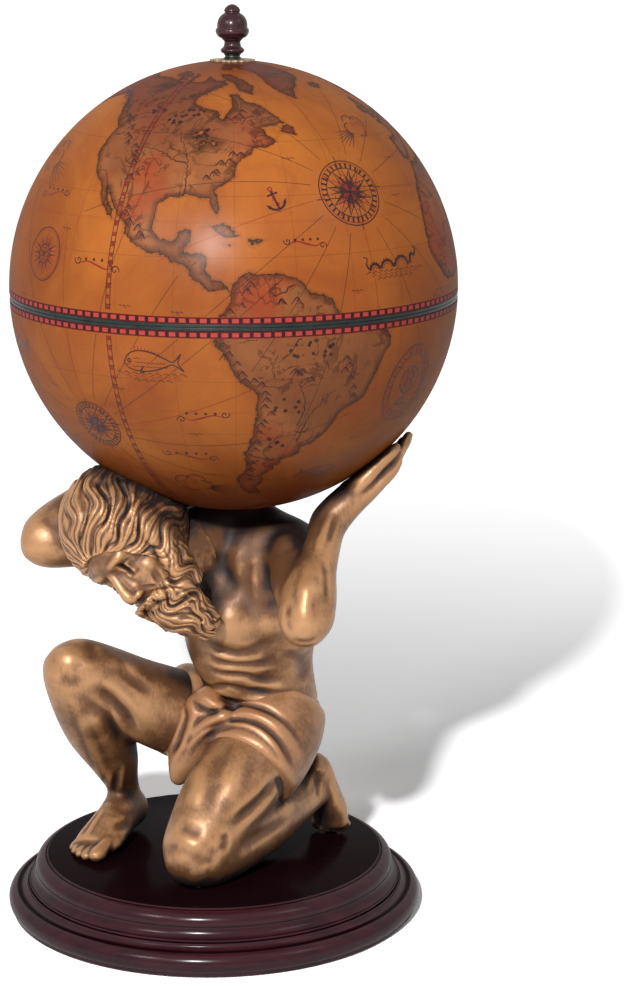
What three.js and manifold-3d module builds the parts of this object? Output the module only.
// Floor globe bar: a drinks cabinet inside a globe, carried on the nape and hands of a kneeling
// figure that stands on a turned round base. The globe's upper shell is a lid on a back hinge.
// Millimetres, +Z up, +X to the viewer's right and -Y toward the viewer.
// The origin is on the floor, under the centre of the base.

import * as THREE from 'three';
import { mergeVertices } from 'three/addons/utils/BufferGeometryUtils.js';
import Module from 'manifold-3d';

const wasm = await Module();
wasm.setup();

// Fits and fineness that all pieces share
const seatGap = 0.3; // between two pieces that touch
const boreClearance = 0.4; // round a screw or bolt in its hole
const overrun = 3; // how far a cutting tool reaches past a face
const mergeDistance = 0.0001;
const roundSides = 10; // on screws, bolts and pins
const dowelSides = 12;
const globeSides = 36;
const globeRings = 9; // from a pole to the equator
const baseSides = 44;
const limbSides = 12;

// Base: felt pad, plinth with its roll and cove, step with its cove, bead and lip
const feltRadius = 186;
const feltThickness = 1.5;
const plinthRadius = 201.5; // over the roll
const plinthHeight = 26.1;
const rollWidth = 10;
const rollHeight = 21;
const rollFootInset = 3.4;
const filletRadius = 183.3;
const filletHeight = 1.6;
const stepRadius = 174.8; // over the bead
const stepHeight = 26.8;
const stepFootRadius = 181.5;
const stepFootHeight = 2.4;
const coveTopHeight = 12.3; // of the step's cove, above the step's underside
const beadOverhang = 1.8;
const beadEdgeHeight = 1.9;
const beadSize = 11.6;
const lipHeight = 1.5;

// Screws that rise through the base into the figure
const baseScrewRadius = 2.6;
const baseScrewHeadRadius = 5.6;
const baseScrewHeadHeight = 3;
const baseScrewGrip = 22; // length inside the figure

// Figure: from the base's top to the globe's underside
const figureHeight = 345.8;

// Globe: two shells with rims, its centre beside the base's axis
const globeRadius = 210;
const globeOffset = 23.6;
const shellWall = 8;
const seamDrop = 5.65; // of the opening seam, below the globe's centre
const rimHeight = 2.9;
const rimWidth = 14;
const rimInset = 0.3;

// Globe's fixing to the figure
const mountPlateRadius = 52;
const mountPlateHeight = 12; // over the shell's inner low point
const globeBoltRadius = 4;
const globeBoltHeadRadius = 7.5;
const globeBoltHeadHeight = 5;
const globeBoltSpacing = 34;
const globeBoltSetback = 6; // behind the globe's axis
const globeBoltGrip = 34; // length inside the figure
const washerRadius = 9.5;
const washerThickness = 1.6;

// Inside: a top deck and a glass shelf over a bottle floor, on dowel posts, in shares of globeRadius
const boardThickness = 9;
const postRadius = 8;
const wellCount = 3;
const deckDepthShare = 0.0952; // from the seam to the deck's top
const shelfDepthShare = 0.419; // from the seam to the glass shelf's top
const floorDepthShare = 0.6952; // from the seam to the bottle floor's top
const bottleHoleShare = 0.2143;
const bottlePitchShare = 0.2952;
const glassHoleShare = 0.1714;
const glassPitchShare = 0.6905;
const upperPostPitchShare = 0.7143;
const lowerPostPitchShare = 0.5667;

// Back hinge: two curved leaves, five knuckles, pin, stop and screws
const hingeWidth = 66;
const leafHeight = 27;
const leafThickness = 1.6;
const leafEdge = 1.1; // from the seam to a leaf's near edge
const knuckleRadius = 3.5;
const knuckleCount = 5;
const knuckleGap = 0.5;
const hingePlay = 0.5; // between a leaf and the other leaf's knuckles
const pinRadius = 1.5;
const pinHeadRadius = 2.9;
const pinHeadLength = 1.5;
const stopPlateThickness = 1.7;
const stopReach = 8; // behind the pin
const stopFinThickness = 2;
const lidOpenAngle = 100;
const hingeScrewRadius = 1.5;
const hingeScrewHeadRadius = 3.3;
const hingeScrewHeadHeight = 1.1;
const hingeScrewGrip = 6;
const hingeScrewSpacing = 23;
const hingeScrewDrop = 18; // from the seam

// Finial: rosette, collar and turned knob on a bolt
const rosetteRadius = 21;
const rosetteThickness = 1.5;
const collarRadius = 8.3;
const collarHeight = 3.4;
const knobRadius = 15.6;
const knobHeight = 45;
const finialBoltRadius = 2.5;
const finialBoltHeadRadius = 5;
const finialBoltHeadHeight = 3.4;
const finialBoltGrip = 16;
const finialWasherRadius = 10;

// Heights and places worked out from the sizes above
const plinthBottom = feltThickness + seatGap;
const plinthTop = plinthBottom + plinthHeight;
const stepBottom = plinthTop + seatGap;
const baseTop = stepBottom + stepHeight;
const figureFoot = baseTop + seatGap;
const globeBottom = baseTop + figureHeight;
const globeCentre = new THREE.Vector3(globeOffset, 0, globeBottom + globeRadius);
const seam = globeCentre.z - seamDrop;
const innerRadius = globeRadius - shellWall;
const hingeAxisReach = globeRadius + seatGap + leafThickness + hingePlay + knuckleRadius;
const pinBoreRadius = pinRadius + seatGap;
const deckDepth = deckDepthShare * globeRadius;
const shelfDepth = shelfDepthShare * globeRadius;
const floorDepth = floorDepthShare * globeRadius;
const bottleHoleRadius = bottleHoleShare * globeRadius;
const glassHoleRadius = glassHoleShare * globeRadius;
const upperPostPitch = upperPostPitchShare * globeRadius;
const lowerPostPitch = lowerPostPitchShare * globeRadius;
const ringAngle = Math.PI / 2 / globeRings;
const facetSlope = (1 - Math.cos(ringAngle)) / Math.sin(ringAngle); // beside a pole or the equator

// Materials, coloured as in the photograph
function finish(color, roughness, metalness) {
  return new THREE.MeshStandardMaterial({ color, roughness, metalness });
}
const bronze = () => finish(0xa57c45, 0.4, 0.6);
const mahogany = () => finish(0x34141a, 0.3, 0);
const mapPaper = () => finish(0xc07a35, 0.35, 0);
const blackRim = () => finish(0x1c2624, 0.35, 0);
const innerWood = () => finish(0x9a6a3c, 0.5, 0);
const brass = () => finish(0xc9a24c, 0.3, 1);
const steel = () => finish(0xa9abac, 0.35, 1);
const darkMetal = () => finish(0x27302b, 0.35, 0.8);
const paleMetal = () => finish(0xb9a887, 0.35, 0.9);
const felt = () => finish(0x2b2a2c, 0.95, 0);

// Only positions, shared vertices merged, triangles without area left out
function closed(geometry) {
  const bare = geometry.clone();
  bare.deleteAttribute('normal');
  bare.deleteAttribute('uv');
  const merged = mergeVertices(bare, mergeDistance);
  const corners = merged.index.array;
  const kept = [];
  for (let i = 0; i < corners.length; i += 3) {
    const [a, b, c] = [corners[i], corners[i + 1], corners[i + 2]];
    if (a !== b && b !== c && c !== a) kept.push(a, b, c);
  }
  merged.setIndex(kept);
  return merged;
}

function toSolid(geometry) {
  const bare = closed(geometry);
  return new wasm.Manifold(new wasm.Mesh({
    numProp: 3,
    vertProperties: new Float32Array(bare.attributes.position.array),
    triVerts: new Uint32Array(bare.index.array),
  }));
}

function toGeometry(solid) {
  const { vertProperties, triVerts } = solid.getMesh();
  const geometry = new THREE.BufferGeometry();
  geometry.setAttribute('position', new THREE.BufferAttribute(vertProperties, 3));
  geometry.setIndex(new THREE.BufferAttribute(triVerts, 1));
  return geometry;
}

function joined(solids) {
  return solids.reduce((whole, next) => whole.add(next));
}

function cut(solid, tools) {
  return tools.reduce((rest, tool) => rest.subtract(tool), solid);
}

// A round solid about the Z axis from [radius, height] points that start and end on the axis,
// listed upward on the outside
function turned(points, sides) {
  const outline = points.map(([radius, height]) => new THREE.Vector2(radius, height));
  return new THREE.LatheGeometry(outline, sides).rotateX(Math.PI / 2);
}

// Points on an ellipse's arc in a turned outline
function arc(centre, radii, fromDegrees, toDegrees, steps) {
  return Array.from({ length: steps + 1 }, (_, i) => {
    const angle = THREE.MathUtils.degToRad(fromDegrees + (toDegrees - fromDegrees) * i / steps);
    return [centre[0] + radii[0] * Math.cos(angle), centre[1] + radii[1] * Math.sin(angle)];
  });
}

// A straight round bar between two points
function rod(from, to, radius, sides = roundSides) {
  const along = to.clone().sub(from);
  const geometry = new THREE.CylinderGeometry(radius, radius, along.length(), sides);
  const turn = new THREE.Quaternion().setFromUnitVectors(
    new THREE.Vector3(0, 1, 0), along.clone().normalize());
  geometry.applyQuaternion(turn);
  return geometry.translate(...from.clone().add(to).multiplyScalar(0.5).toArray());
}

// A box between two opposite corners
function block(low, high) {
  const size = high.clone().sub(low);
  return new THREE.BoxGeometry(...size.toArray())
    .translate(...low.clone().add(high).multiplyScalar(0.5).toArray());
}

// A ball about the globe's centre: all of them have their facets in the same places
function globeBall(radius) {
  const points = arc([0, 0], [radius, radius], -90, 90, 2 * globeRings);
  points[0][0] = 0;
  points[points.length - 1][0] = 0;
  return turned(points, globeSides).translate(...globeCentre.toArray());
}

const model = new THREE.Group();

function add(name, geometry, material, place = new THREE.Vector3(), direction = null) {
  const mesh = new THREE.Mesh(geometry, material);
  mesh.name = name;
  mesh.position.copy(place);
  if (direction) {
    mesh.quaternion.setFromUnitVectors(new THREE.Vector3(0, 0, 1), direction);
  }
  model.add(mesh);
}

// A headed screw or bolt along Z: its head's top at the origin, its shank below
function headedPin(headRadius, headHeight, shankRadius, length) {
  return turned([
    [0, -length],
    [shankRadius, -length],
    [shankRadius, -headHeight],
    [headRadius, -headHeight],
    [headRadius, 0],
    [0, 0],
  ], roundSides);
}

// Where the base's screws enter the figure, as shares of the figure's height from the base's axis
const baseScrewShares = [[-0.04, -0.31], [-0.275, 0.08], [0.342, 0.12]];
const baseScrewPlaces = baseScrewShares.map(([x, y]) => [x * figureHeight, y * figureHeight]);
const baseScrewTop = figureFoot + baseScrewGrip;

function baseScrewBores() {
  const bores = [];
  for (const [x, y] of baseScrewPlaces) {
    bores.push(toSolid(rod(
      new THREE.Vector3(x, y, -overrun),
      new THREE.Vector3(x, y, baseScrewTop + boreClearance),
      baseScrewRadius + boreClearance)));
    bores.push(toSolid(rod(
      new THREE.Vector3(x, y, -overrun),
      new THREE.Vector3(x, y, plinthBottom + baseScrewHeadHeight + 2 * boreClearance),
      baseScrewHeadRadius + boreClearance)));
  }
  return bores;
}

function buildBase() {
  add('felt_disc', turned([
    [0, 0],
    [feltRadius, 0],
    [feltRadius, feltThickness],
    [0, feltThickness],
  ], baseSides), felt());

  const rollCentre = [plinthRadius - rollWidth, plinthBottom + rollHeight / 2];
  const roll = arc(rollCentre, [rollWidth, rollHeight / 2], -50, 85, 5);
  const rollTop = roll[roll.length - 1];
  const coveTop = plinthTop - filletHeight;
  const cove = arc([rollTop[0], coveTop], [rollTop[0] - filletRadius, coveTop - rollTop[1]],
    -90, -180, 3);
  const plinth = turned([
    [0, plinthBottom],
    [plinthRadius - rollFootInset, plinthBottom],
    ...roll,
    ...cove.slice(1),
    [filletRadius, plinthTop],
    [0, plinthTop],
  ], baseSides);

  const stepCoveTop = stepBottom + coveTopHeight;
  const stepCoveFoot = stepBottom + stepFootHeight;
  const stepWaist = stepRadius - beadOverhang;
  const beadBottom = stepCoveTop + beadEdgeHeight;
  const beadHeight = baseTop - lipHeight - beadBottom;
  const lipRadius = stepRadius - beadSize;
  const step = turned([
    [0, stepBottom],
    [stepFootRadius, stepBottom],
    ...arc([stepFootRadius, stepCoveTop], [stepFootRadius - stepWaist, stepCoveTop - stepCoveFoot],
      -90, -180, 3),
    [stepRadius, stepCoveTop],
    ...arc([lipRadius, beadBottom], [beadSize, beadHeight], 0, 90, 4),
    [lipRadius, baseTop],
    [0, baseTop],
  ], baseSides);

  const bores = baseScrewBores();
  add('base_plinth', toGeometry(cut(toSolid(plinth), bores)), mahogany());
  add('base_step', toGeometry(cut(toSolid(step), bores)), mahogany());
  const headTop = plinthBottom + boreClearance;
  baseScrewPlaces.forEach(([x, y], i) => {
    add(`base_screw_${i + 1}`,
      headedPin(baseScrewHeadRadius, baseScrewHeadHeight, baseScrewRadius, baseScrewTop - headTop),
      steel(), new THREE.Vector3(x, y, headTop), new THREE.Vector3(0, 0, -1));
  });
}

// Figure: each table row is [x, y, z, half width, half depth] in shares of the figure's height,
// from the point where the base's axis meets its top
const bodyFacing = new THREE.Vector3(-0.59, -0.81, 0);
const headFacing = new THREE.Vector3(-0.373, -0.775, -0.504).normalize();
const headRise = new THREE.Vector3(-0.817, 0.022, 0.572).normalize();
const upward = new THREE.Vector3(0, 0, 1);

const trunkShares = [
  [0.13, 0.075, 0.26, 0.11, 0.1],
  [0.12, 0.07, 0.33, 0.165, 0.145],
  [0.116, 0.066, 0.42, 0.195, 0.17],
  [0.118, 0.055, 0.5, 0.19, 0.155],
  [0.122, 0.035, 0.58, 0.18, 0.145],
  [0.124, 0.01, 0.67, 0.19, 0.15],
  [0.118, -0.01, 0.76, 0.21, 0.155],
  [0.1, 0, 0.85, 0.22, 0.15],
  [0.084, 0.02, 0.91, 0.2, 0.13],
  [0.075, 0.03, 0.955, 0.145, 0.105],
  [0.07, 0.03, 0.99, 0.11, 0.08],
];
const leftSleeveShares = [
  [0.2, 0.03, 0.44, 0.12, 0.12],
  [0.17, -0.01, 0.37, 0.145, 0.145],
  [0.125, -0.07, 0.3, 0.145, 0.142],
  [0.08, -0.13, 0.25, 0.14, 0.135],
];
const rightSleeveShares = [
  [0.07, 0.11, 0.34, 0.12, 0.12],
  [-0.01, 0.09, 0.355, 0.135, 0.135],
  [-0.1, 0.06, 0.385, 0.135, 0.135],
];
const leftThighShares = [
  [0.14, -0.05, 0.34, 0.1, 0.1],
  [0.09, -0.12, 0.27, 0.12, 0.12],
  [0.035, -0.195, 0.205, 0.122, 0.118],
  [-0.01, -0.262, 0.145, 0.102, 0.1],
  [-0.045, -0.315, 0.082, 0.088, 0.088],
  [-0.066, -0.345, 0.068, 0.055, 0.055],
];
const leftShankShares = [
  [-0.064, -0.335, 0.072, 0.05, 0.055],
  [-0.042, -0.308, 0.083, 0.084, 0.086],
  [0.035, -0.215, 0.1, 0.095, 0.1],
  [0.13, -0.1, 0.118, 0.085, 0.09],
  [0.22, 0.005, 0.13, 0.062, 0.065],
  [0.29, 0.08, 0.15, 0.05, 0.052],
];
const leftFootShares = [
  [0.292, 0.08, 0.225, 0.028, 0.03],
  [0.298, 0.085, 0.2, 0.045, 0.045],
  [0.318, 0.1, 0.14, 0.052, 0.05],
  [0.338, 0.118, 0.075, 0.06, 0.045],
  [0.342, 0.12, 0.035, 0.062, 0.036],
];
const leftToesShares = [
  [0.352, 0.13, 0.03, 0.045, 0.02],
  [0.338, 0.116, 0.03, 0.06, 0.03],
  [0.31, 0.09, 0.024, 0.058, 0.024],
  [0.285, 0.066, 0.018, 0.045, 0.016],
];
const rightThighShares = [
  [-0.05, 0.08, 0.36, 0.1, 0.1],
  [-0.13, 0.05, 0.395, 0.12, 0.12],
  [-0.22, 0.015, 0.445, 0.112, 0.112],
  [-0.315, -0.02, 0.51, 0.098, 0.098],
  [-0.385, -0.048, 0.552, 0.084, 0.084],
  [-0.418, -0.062, 0.562, 0.05, 0.05],
];
const rightShankShares = [
  [-0.402, -0.055, 0.6, 0.04, 0.045],
  [-0.393, -0.05, 0.57, 0.078, 0.078],
  [-0.362, -0.02, 0.47, 0.09, 0.092],
  [-0.322, 0.035, 0.36, 0.095, 0.1],
  [-0.285, 0.08, 0.25, 0.075, 0.082],
  [-0.262, 0.12, 0.155, 0.05, 0.054],
  [-0.255, 0.135, 0.1, 0.05, 0.055],
];
const rightFootShares = [
  [-0.215, 0.215, 0.045, 0.028, 0.03],
  [-0.228, 0.185, 0.055, 0.052, 0.055],
  [-0.255, 0.12, 0.075, 0.055, 0.078],
  [-0.29, 0.04, 0.055, 0.062, 0.058],
  [-0.325, -0.035, 0.035, 0.074, 0.042],
  [-0.352, -0.09, 0.024, 0.072, 0.028],
  [-0.368, -0.125, 0.02, 0.055, 0.02],
];
const leftUpperArmShares = [
  [0.165, -0.01, 0.86, 0.06, 0.06],
  [0.225, -0.09, 0.88, 0.102, 0.096],
  [0.24, -0.18, 0.865, 0.096, 0.092],
  [0.248, -0.29, 0.82, 0.084, 0.082],
  [0.249, -0.38, 0.78, 0.072, 0.07],
  [0.248, -0.42, 0.762, 0.045, 0.045],
];
const leftForearmShares = [
  [0.246, -0.42, 0.74, 0.045, 0.045],
  [0.248, -0.4, 0.77, 0.074, 0.074],
  [0.262, -0.355, 0.83, 0.074, 0.074],
  [0.288, -0.295, 0.895, 0.056, 0.056],
];
const rightUpperArmShares = [
  [-0.03, 0.12, 0.9, 0.08, 0.08],
  [-0.14, 0.15, 0.905, 0.1, 0.1],
  [-0.27, 0.11, 0.9, 0.09, 0.09],
  [-0.4, 0.06, 0.888, 0.08, 0.08],
  [-0.475, 0.032, 0.885, 0.07, 0.07],
  [-0.505, 0.02, 0.885, 0.04, 0.04],
];
const rightForearmShares = [
  [-0.495, 0.025, 0.875, 0.045, 0.045],
  [-0.473, 0.04, 0.89, 0.074, 0.074],
  [-0.41, 0.095, 0.93, 0.078, 0.078],
  [-0.33, 0.165, 0.98, 0.062, 0.062],
];
const neckShares = [
  [-0.13, -0.12, 0.87, 0.09, 0.09],
  [-0.05, -0.06, 0.9, 0.1, 0.1],
  [0.03, 0, 0.93, 0.1, 0.095],
];
const chestShares = [
  [0.075, -0.03, 0.52, 0.1, 0.09],
  [0.05, -0.055, 0.6, 0.125, 0.105],
  [0.045, -0.06, 0.68, 0.135, 0.115],
  [0.055, -0.05, 0.76, 0.135, 0.11],
  [0.07, -0.03, 0.84, 0.12, 0.1],
];
// Head, from the beard's tip to the crown: [place ahead of the head's middle, place above it,
// half width, half depth]
const headMiddleShares = [-0.1995, -0.191, 0.9225];
const headShares = [
  [0.066, -0.28, 0.026, 0.026],
  [0.076, -0.247, 0.053, 0.046],
  [0.082, -0.204, 0.076, 0.059],
  [0.079, -0.158, 0.089, 0.069],
  [0.066, -0.112, 0.102, 0.085],
  [0.04, -0.066, 0.125, 0.112],
  [-0.007, -0.007, 0.145, 0.145],
  [-0.036, 0.04, 0.16, 0.171],
  [-0.043, 0.092, 0.16, 0.177],
  [-0.043, 0.148, 0.144, 0.157],
  [-0.043, 0.198, 0.107, 0.114],
  [-0.043, 0.231, 0.056, 0.059],
];

// Hands on the globe: rows of [angle from straight down, angle about the globe's axis] in
// degrees, then [lift off the globe, half width, half thickness] in shares of the figure's height
const leftHandShares = [
  [29.3, -33.4, 0.075, 0.04, 0.036],
  [33, -27.5, 0.046, 0.056, 0.036],
  [38, -21, 0.03, 0.074, 0.032],
  [43, -15, 0.022, 0.072, 0.025],
  [47, -10.5, 0.018, 0.064, 0.02],
  [50.5, -6.5, 0.012, 0.042, 0.014],
];
const leftThumbShares = [
  [33, -28, 0.04, 0.028, 0.028],
  [37, -29, 0.03, 0.026, 0.024],
  [41, -27, 0.022, 0.024, 0.02],
  [44.5, -24, 0.014, 0.018, 0.014],
];
const rightHandShares = [
  [35.8, 141.9, 0.075, 0.044, 0.04],
  [41, 141, 0.045, 0.062, 0.036],
  [47, 140, 0.028, 0.075, 0.03],
  [53, 138.5, 0.02, 0.07, 0.024],
  [58, 137, 0.015, 0.06, 0.018],
  [61.5, 136, 0.01, 0.04, 0.012],
];

function figurePlace([x, y, z]) {
  return new THREE.Vector3(x, y, z).multiplyScalar(figureHeight)
    .add(new THREE.Vector3(0, 0, baseTop));
}

function bodyRows(shares) {
  return shares.map((row) => ({
    at: figurePlace(row),
    width: row[3] * figureHeight,
    depth: row[4] * figureHeight,
  }));
}

function headRows(shares) {
  return shares.map(([ahead, above, width, depth]) => ({
    at: figurePlace(headMiddleShares)
      .addScaledVector(headFacing, ahead * figureHeight)
      .addScaledVector(headRise, above * figureHeight),
    width: width * figureHeight,
    depth: depth * figureHeight,
  }));
}

function handRows(shares) {
  return shares.map(([fallDegrees, aroundDegrees, lift, width, depth]) => {
    const fall = THREE.MathUtils.degToRad(fallDegrees);
    const around = THREE.MathUtils.degToRad(aroundDegrees);
    const direction = new THREE.Vector3(
      Math.sin(fall) * Math.cos(around), Math.sin(fall) * Math.sin(around), -Math.cos(fall));
    return {
      at: direction.multiplyScalar(globeRadius + lift * figureHeight).add(globeCentre),
      width: width * figureHeight,
      depth: depth * figureHeight,
    };
  });
}

const roundEndShare = 0.45;
const flatEndShare = 0.1;

// A limb: elliptical rings along a line of rows, with a point at each end.
// Its depth lies along facing, and grow thickens it all over.
function limb(rows, facing, grow = 0, endShare = roundEndShare) {
  const last = rows.length - 1;
  const positions = [];
  const corners = [];
  const along = rows.map((row, k) => rows[Math.min(k + 1, last)].at.clone()
    .sub(rows[Math.max(k - 1, 0)].at).normalize());
  rows.forEach((row, k) => {
    const front = facing.clone().addScaledVector(along[k], -facing.dot(along[k])).normalize();
    const side = front.clone().cross(along[k]);
    for (let i = 0; i < limbSides; i += 1) {
      const angle = 2 * Math.PI * i / limbSides;
      positions.push(...row.at.clone()
        .addScaledVector(side, (row.width + grow) * Math.cos(angle))
        .addScaledVector(front, (row.depth + grow) * Math.sin(angle)).toArray());
    }
  });
  const reach = (row) => endShare * Math.min(row.width, row.depth) + grow;
  positions.push(...rows[0].at.clone().addScaledVector(along[0], -reach(rows[0])).toArray());
  positions.push(...rows[last].at.clone().addScaledVector(along[last], reach(rows[last])).toArray());
  const startPole = rows.length * limbSides;
  for (let i = 0; i < limbSides; i += 1) {
    const next = (i + 1) % limbSides;
    corners.push(next, i, startPole);
    for (let k = 0; k < last; k += 1) {
      const [low, high] = [k * limbSides, (k + 1) * limbSides];
      corners.push(low + i, low + next, high + next, low + i, high + next, high + i);
    }
    corners.push(last * limbSides + i, last * limbSides + next, startPole + 1);
  }
  const geometry = new THREE.BufferGeometry();
  geometry.setAttribute('position', new THREE.Float32BufferAttribute(positions, 3));
  geometry.setIndex(corners);
  return toSolid(geometry);
}

function torsoSolid(grow) {
  return joined([
    limb(bodyRows(trunkShares), bodyFacing, grow),
    limb(bodyRows(chestShares), bodyFacing, grow),
    limb(bodyRows(leftSleeveShares), upward, grow, flatEndShare),
    limb(bodyRows(rightSleeveShares), upward, grow, flatEndShare),
  ]);
}

function rightArmSolid(grow) {
  const hand = handRows(rightHandShares);
  return joined([
    limb(bodyRows(rightUpperArmShares), upward, grow),
    limb([...bodyRows(rightForearmShares), hand[0]], upward, grow),
    limb(hand, upward, grow),
  ]);
}

function buildFigure() {
  const globeTool = toSolid(globeBall(globeRadius + seatGap));
  const floorTool = toSolid(block(
    new THREE.Vector3(-plinthRadius, -plinthRadius, -overrun),
    new THREE.Vector3(plinthRadius, plinthRadius, figureFoot)));
  const screwTools = baseScrewBores();
  const torsoTool = torsoSolid(seatGap);
  const rightArmTool = rightArmSolid(seatGap);

  const leftLeg = joined([
    limb(bodyRows(leftThighShares), upward),
    limb(bodyRows(leftShankShares), upward),
    limb(bodyRows(leftFootShares), bodyFacing),
    limb(bodyRows(leftToesShares), upward),
  ]);
  const rightLeg = joined([
    limb(bodyRows(rightThighShares), upward),
    limb(bodyRows(rightShankShares), bodyFacing),
    limb(bodyRows(rightFootShares), upward),
  ]);
  const leftHand = handRows(leftHandShares);
  const leftArm = joined([
    limb(bodyRows(leftUpperArmShares), upward),
    limb([...bodyRows(leftForearmShares), leftHand[0]], upward),
    limb(leftHand, upward),
    limb(handRows(leftThumbShares), upward),
  ]);
  const head = joined([
    limb(headRows(headShares), headFacing),
    limb(bodyRows(neckShares), upward),
  ]);

  const torso = cut(torsoSolid(0), [globeTool, ...globeBoltBores()]);
  add('figure_torso', toGeometry(torso), bronze());
  add('figure_left_leg', toGeometry(cut(leftLeg, [torsoTool, floorTool, ...screwTools])), bronze());
  add('figure_right_leg', toGeometry(cut(rightLeg, [torsoTool, floorTool, ...screwTools])),
    bronze());
  add('figure_left_arm', toGeometry(cut(leftArm, [torsoTool, globeTool])), bronze());
  add('figure_right_arm', toGeometry(cut(rightArmSolid(0), [torsoTool, globeTool])), bronze());
  const headTools = [torsoTool, rightArmTool, globeTool, ...globeBoltBores()];
  add('figure_head', toGeometry(cut(head, headTools)), bronze());
}

// Bolts that hold the globe on the figure's nape
const mountPlateTop = globeCentre.z - innerRadius + mountPlateHeight;
const globeWasherTop = mountPlateTop + seatGap + washerThickness;
const globeBoltTop = globeWasherTop + seatGap + globeBoltHeadHeight;
const globeBoltEnd = globeBottom - globeBoltGrip;
const globeBoltPlaces = [-1, 1].map((side) => [
  globeCentre.x + side * globeBoltSpacing / 2,
  globeCentre.y + globeBoltSetback,
]);

function globeBoltBores() {
  return globeBoltPlaces.map(([x, y]) => toSolid(rod(
    new THREE.Vector3(x, y, globeBoltEnd - boreClearance),
    new THREE.Vector3(x, y, mountPlateTop + overrun),
    globeBoltRadius + boreClearance)));
}

function buildGlobeFixing() {
  const plate = toSolid(rod(
    new THREE.Vector3(globeCentre.x, globeCentre.y, globeBottom),
    new THREE.Vector3(globeCentre.x, globeCentre.y, mountPlateTop),
    mountPlateRadius, globeSides));
  const seated = plate.intersect(toSolid(globeBall(innerRadius - seatGap)));
  add('mount_plate', toGeometry(cut(seated, globeBoltBores())), steel());
  globeBoltPlaces.forEach(([x, y], i) => {
    const washer = turned([
      [globeBoltRadius + boreClearance, 0],
      [washerRadius, 0],
      [washerRadius, washerThickness],
      [globeBoltRadius + boreClearance, washerThickness],
      [globeBoltRadius + boreClearance, 0],
    ], roundSides);
    add(`globe_washer_${i + 1}`, washer, steel(),
      new THREE.Vector3(x, y, mountPlateTop + seatGap));
    add(`globe_bolt_${i + 1}`,
      headedPin(globeBoltHeadRadius, globeBoltHeadHeight, globeBoltRadius,
        globeBoltTop - globeBoltEnd),
      steel(), new THREE.Vector3(x, y, globeBoltTop));
  });
}

// Hinge screws: radial to the globe, three in each leaf; side is +1 on the lid, -1 on the bowl
function hingeScrews(side) {
  return [-1, 0, 1].map((column) => {
    const x = column * hingeScrewSpacing;
    const z = -seamDrop + side * hingeScrewDrop;
    const y = Math.sqrt(globeRadius ** 2 - x ** 2 - z ** 2);
    return new THREE.Vector3(x, y, z).normalize();
  });
}

const leafOuter = globeRadius + seatGap + leafThickness;

function hingeScrewBores(side) {
  return hingeScrews(side).map((direction) => toSolid(rod(
    direction.clone().multiplyScalar(globeRadius - hingeScrewGrip - boreClearance).add(globeCentre),
    direction.clone().multiplyScalar(leafOuter + overrun).add(globeCentre),
    hingeScrewRadius + boreClearance)));
}

// The globe's wall, whole, before the seam parts it
function globeWall() {
  return toSolid(globeBall(globeRadius)).subtract(toSolid(globeBall(innerRadius)));
}

function buildShells() {
  const reach = globeRadius + overrun;
  const lidEdge = seam + seatGap / 2 + rimHeight + seatGap;
  const bowlEdge = seam - seatGap / 2 - rimHeight - seatGap;
  const around = new THREE.Vector3(reach, reach, 0);
  const above = toSolid(block(
    globeCentre.clone().sub(around).setZ(lidEdge),
    globeCentre.clone().add(around).setZ(globeCentre.z + reach)));
  const below = toSolid(block(
    globeCentre.clone().sub(around).setZ(globeCentre.z - reach),
    globeCentre.clone().add(around).setZ(bowlEdge)));
  const lid = globeWall().intersect(above);
  const bowl = globeWall().intersect(below);
  add('globe_lid', toGeometry(cut(lid, [finialBore(), ...hingeScrewBores(1)])), mapPaper());
  add('globe_bowl', toGeometry(cut(bowl, [...globeBoltBores(), ...hingeScrewBores(-1)])),
    mapPaper());

  const rimReach = seamDrop + seatGap / 2 + rimHeight;
  const rimOuter = globeRadius - facetSlope * rimReach - rimInset;
  const rimInner = globeRadius - rimWidth;
  const rim = turned([
    [rimInner, 0],
    [rimOuter, 0],
    [rimOuter, rimHeight],
    [rimInner, rimHeight],
    [rimInner, 0],
  ], globeSides);
  add('lid_rim', rim, blackRim(),
    new THREE.Vector3(globeCentre.x, globeCentre.y, seam + seatGap / 2));
  add('bowl_rim', rim.clone(), blackRim(),
    new THREE.Vector3(globeCentre.x, globeCentre.y, seam - seatGap / 2 - rimHeight));
}

// Inside of the globe: boards with bevelled edges that seat on the shell, and the posts
function ringPlaces(pitch, startDegrees) {
  return Array.from({ length: wellCount }, (_, i) => {
    const angle = THREE.MathUtils.degToRad(startDegrees + 360 * i / wellCount);
    return [globeCentre.x + pitch * Math.cos(angle), globeCentre.y + pitch * Math.sin(angle)];
  });
}

const bottlePlaces = ringPlaces(bottlePitchShare * globeRadius, -90);
const glassPlaces = ringPlaces(glassPitchShare * globeRadius, -30);

function board(depth, holes) {
  const top = seam - depth;
  const blank = toSolid(rod(
    new THREE.Vector3(globeCentre.x, globeCentre.y, top - boardThickness),
    new THREE.Vector3(globeCentre.x, globeCentre.y, top),
    globeRadius, globeSides));
  const bores = holes.map(([x, y, radius]) => toSolid(rod(
    new THREE.Vector3(x, y, top - boardThickness - overrun),
    new THREE.Vector3(x, y, top + overrun),
    radius, 2 * roundSides)));
  return toGeometry(cut(blank.intersect(toSolid(globeBall(innerRadius - seatGap))), bores));
}

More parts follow.
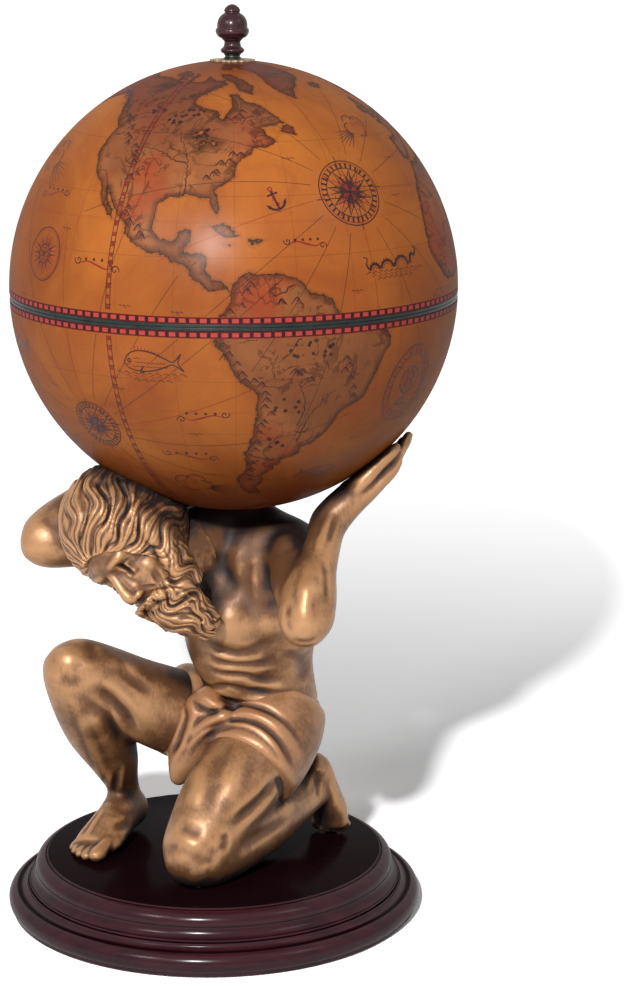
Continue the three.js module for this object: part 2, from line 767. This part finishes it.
function buildInside() {
  const bottleHoles = bottlePlaces.map(([x, y]) => [x, y, bottleHoleRadius]);
  const glassHoles = glassPlaces.map(([x, y]) => [x, y, glassHoleRadius]);
  add('bottle_deck', board(deckDepth, [...bottleHoles, ...glassHoles]), innerWood());
  add('glass_shelf', board(shelfDepth, bottleHoles), innerWood());
  add('bottle_floor', board(floorDepth, []), innerWood());

  const posts = [
    ['upper_post', upperPostPitch, deckDepth, shelfDepth],
    ['lower_post', lowerPostPitch, shelfDepth, floorDepth],
  ];
  for (const [name, pitch, boardAbove, boardBelow] of posts) {
    const foot = seam - boardBelow + seatGap;
    const height = boardBelow - boardAbove - boardThickness - 2 * seatGap;
    ringPlaces(pitch, -90).forEach(([x, y], i) => {
      add(`${name}_${i + 1}`, turned([
        [0, 0],
        [postRadius, 0],
        [postRadius, height],
        [0, height],
      ], dowelSides), innerWood(), new THREE.Vector3(x, y, foot));
    });
  }
}

// Hinge: the pin runs along X behind the seam; places are measured from the globe's centre
function buildHinge() {
  const pitch = hingeWidth / knuckleCount;
  const from = (x, y, z) => new THREE.Vector3(x, y, z - seamDrop).add(globeCentre);
  const globeTool = toSolid(globeBall(globeRadius + seatGap));
  const leafBall = toSolid(globeBall(leafOuter));
  const pinBore = toSolid(rod(from(-hingeWidth, hingeAxisReach, 0),
    from(hingeWidth, hingeAxisReach, 0), pinBoreRadius));
  const half = hingeWidth / 2;
  const inside = globeRadius / 2;

  function leaf(side) {
    const near = side * leafEdge;
    const far = side * leafHeight;
    return leafBall.intersect(toSolid(block(
      from(-half, inside, Math.min(near, far)),
      from(half, globeRadius + overrun, Math.max(near, far)))));
  }

  function knuckle(i) {
    const left = -half + i * pitch + (i > 0 ? knuckleGap / 2 : 0);
    const right = -half + (i + 1) * pitch - (i < knuckleCount - 1 ? knuckleGap / 2 : 0);
    const barrel = toSolid(rod(from(left, hingeAxisReach, 0), from(right, hingeAxisReach, 0),
      knuckleRadius));
    return { left, right, barrel };
  }

  const plateTop = -knuckleRadius - knuckleGap;
  const plate = toSolid(block(
    from(-half, inside, plateTop - stopPlateThickness),
    from(half, hingeAxisReach + stopReach, plateTop)));
  const bowlPieces = [leaf(-1), plate];
  const lidPieces = [leaf(1)];
  const finDegrees = lidOpenAngle - THREE.MathUtils.radToDeg(
    Math.asin((knuckleRadius - stopFinThickness / 2) / stopReach));
  for (let i = 0; i < knuckleCount; i += 1) {
    const { left, right, barrel } = knuckle(i);
    if (i % 2 === 0) {
      bowlPieces.push(barrel, toSolid(block(
        from(left, hingeAxisReach - knuckleRadius, plateTop - stopPlateThickness / 2),
        from(right, hingeAxisReach + knuckleRadius, 0))));
    } else {
      const fin = block(
        new THREE.Vector3(left, 0, -stopFinThickness / 2),
        new THREE.Vector3(right, stopReach, stopFinThickness / 2));
      fin.rotateX(THREE.MathUtils.degToRad(finDegrees));
      fin.translate(...from(0, hingeAxisReach, 0).toArray());
      lidPieces.push(barrel, toSolid(fin), toSolid(block(
        from(left, inside, leafEdge),
        from(right, hingeAxisReach, knuckleRadius))));
    }
  }
  const bowlTools = [globeTool, pinBore, ...hingeScrewBores(-1)];
  const lidTools = [globeTool, pinBore, ...hingeScrewBores(1)];
  add('hinge_bowl_leaf', toGeometry(cut(joined(bowlPieces), bowlTools)), brass());
  add('hinge_lid_leaf', toGeometry(cut(joined(lidPieces), lidTools)), brass());

  const pinLength = hingeWidth + pinHeadLength + 2 * seatGap;
  add('hinge_pin', headedPin(pinHeadRadius, pinHeadLength, pinRadius, pinLength), brass(),
    from(half + seatGap + pinHeadLength, hingeAxisReach, 0), new THREE.Vector3(1, 0, 0));

  const screw = headedPin(hingeScrewHeadRadius, hingeScrewHeadHeight, hingeScrewRadius,
    hingeScrewHeadHeight + seatGap + leafOuter - globeRadius + hingeScrewGrip);
  [...hingeScrews(-1), ...hingeScrews(1)].forEach((direction, i) => {
    const top = direction.clone()
      .multiplyScalar(leafOuter + seatGap + hingeScrewHeadHeight).add(globeCentre);
    add(`hinge_screw_${i + 1}`, screw.clone(), brass(), top, direction);
  });
}

// Finial on the lid's top
const lidTop = globeCentre.z + globeRadius;
const rosetteTop = lidTop + seatGap + rosetteThickness;
const knobFoot = rosetteTop + seatGap + collarHeight + seatGap;
const knobProfileShares = [
  [0.49, 0], [0.6, 0.02], [0.72, 0.065], [0.6, 0.11], [0.5, 0.165], [0.48, 0.25], [0.67, 0.31],
  [0.97, 0.4], [1, 0.46], [0.92, 0.525], [0.85, 0.67], [0.72, 0.75], [0.54, 0.81], [0.45, 0.84],
  [0.46, 0.88], [0.33, 0.945],
];

function finialBore() {
  return toSolid(rod(
    new THREE.Vector3(globeCentre.x, globeCentre.y, globeCentre.z + innerRadius - overrun),
    new THREE.Vector3(globeCentre.x, globeCentre.y, knobFoot + finialBoltGrip + boreClearance),
    finialBoltRadius + boreClearance));
}

function buildFinial() {
  const axis = (z) => new THREE.Vector3(globeCentre.x, globeCentre.y, z);
  const rosette = toSolid(globeBall(globeRadius + seatGap + rosetteThickness))
    .intersect(toSolid(rod(axis(globeCentre.z), axis(lidTop + overrun), rosetteRadius,
      2 * roundSides)));
  add('finial_rosette', toGeometry(cut(rosette,
    [toSolid(globeBall(globeRadius + seatGap)), finialBore()])), paleMetal());

  const bore = finialBoltRadius + boreClearance;
  const collarWaistShare = 0.86;
  add('finial_collar', turned([
    [bore, 0],
    [collarRadius, 0],
    [collarWaistShare * collarRadius, collarHeight / 2],
    [collarRadius, collarHeight],
    [bore, collarHeight],
    [bore, 0],
  ], 2 * roundSides), darkMetal(), axis(rosetteTop + seatGap));

  const knob = turned([
    [0, 0],
    ...knobProfileShares.map(([radius, height]) => [radius * knobRadius, height * knobHeight]),
    [0, knobHeight],
  ], 2 * roundSides).translate(...axis(knobFoot).toArray());
  add('finial_knob', toGeometry(toSolid(knob).subtract(finialBore())), mahogany());

  const washerTop = globeCentre.z + innerRadius - facetSlope * finialWasherRadius - seatGap;
  const washer = turned([
    [bore, -washerThickness],
    [finialWasherRadius, -washerThickness],
    [finialWasherRadius, 0],
    [bore, 0],
    [bore, -washerThickness],
  ], roundSides);
  add('finial_washer', washer, steel(), axis(washerTop));
  const boltHead = washerTop - washerThickness - seatGap - finialBoltHeadHeight;
  add('finial_bolt',
    headedPin(finialBoltHeadRadius, finialBoltHeadHeight, finialBoltRadius,
      knobFoot + finialBoltGrip - boltHead),
    steel(), axis(boltHead), new THREE.Vector3(0, 0, -1));
}

buildBase();
buildFigure();
buildShells();
buildGlobeFixing();
buildInside();
buildHinge();
buildFinial();

export default model;
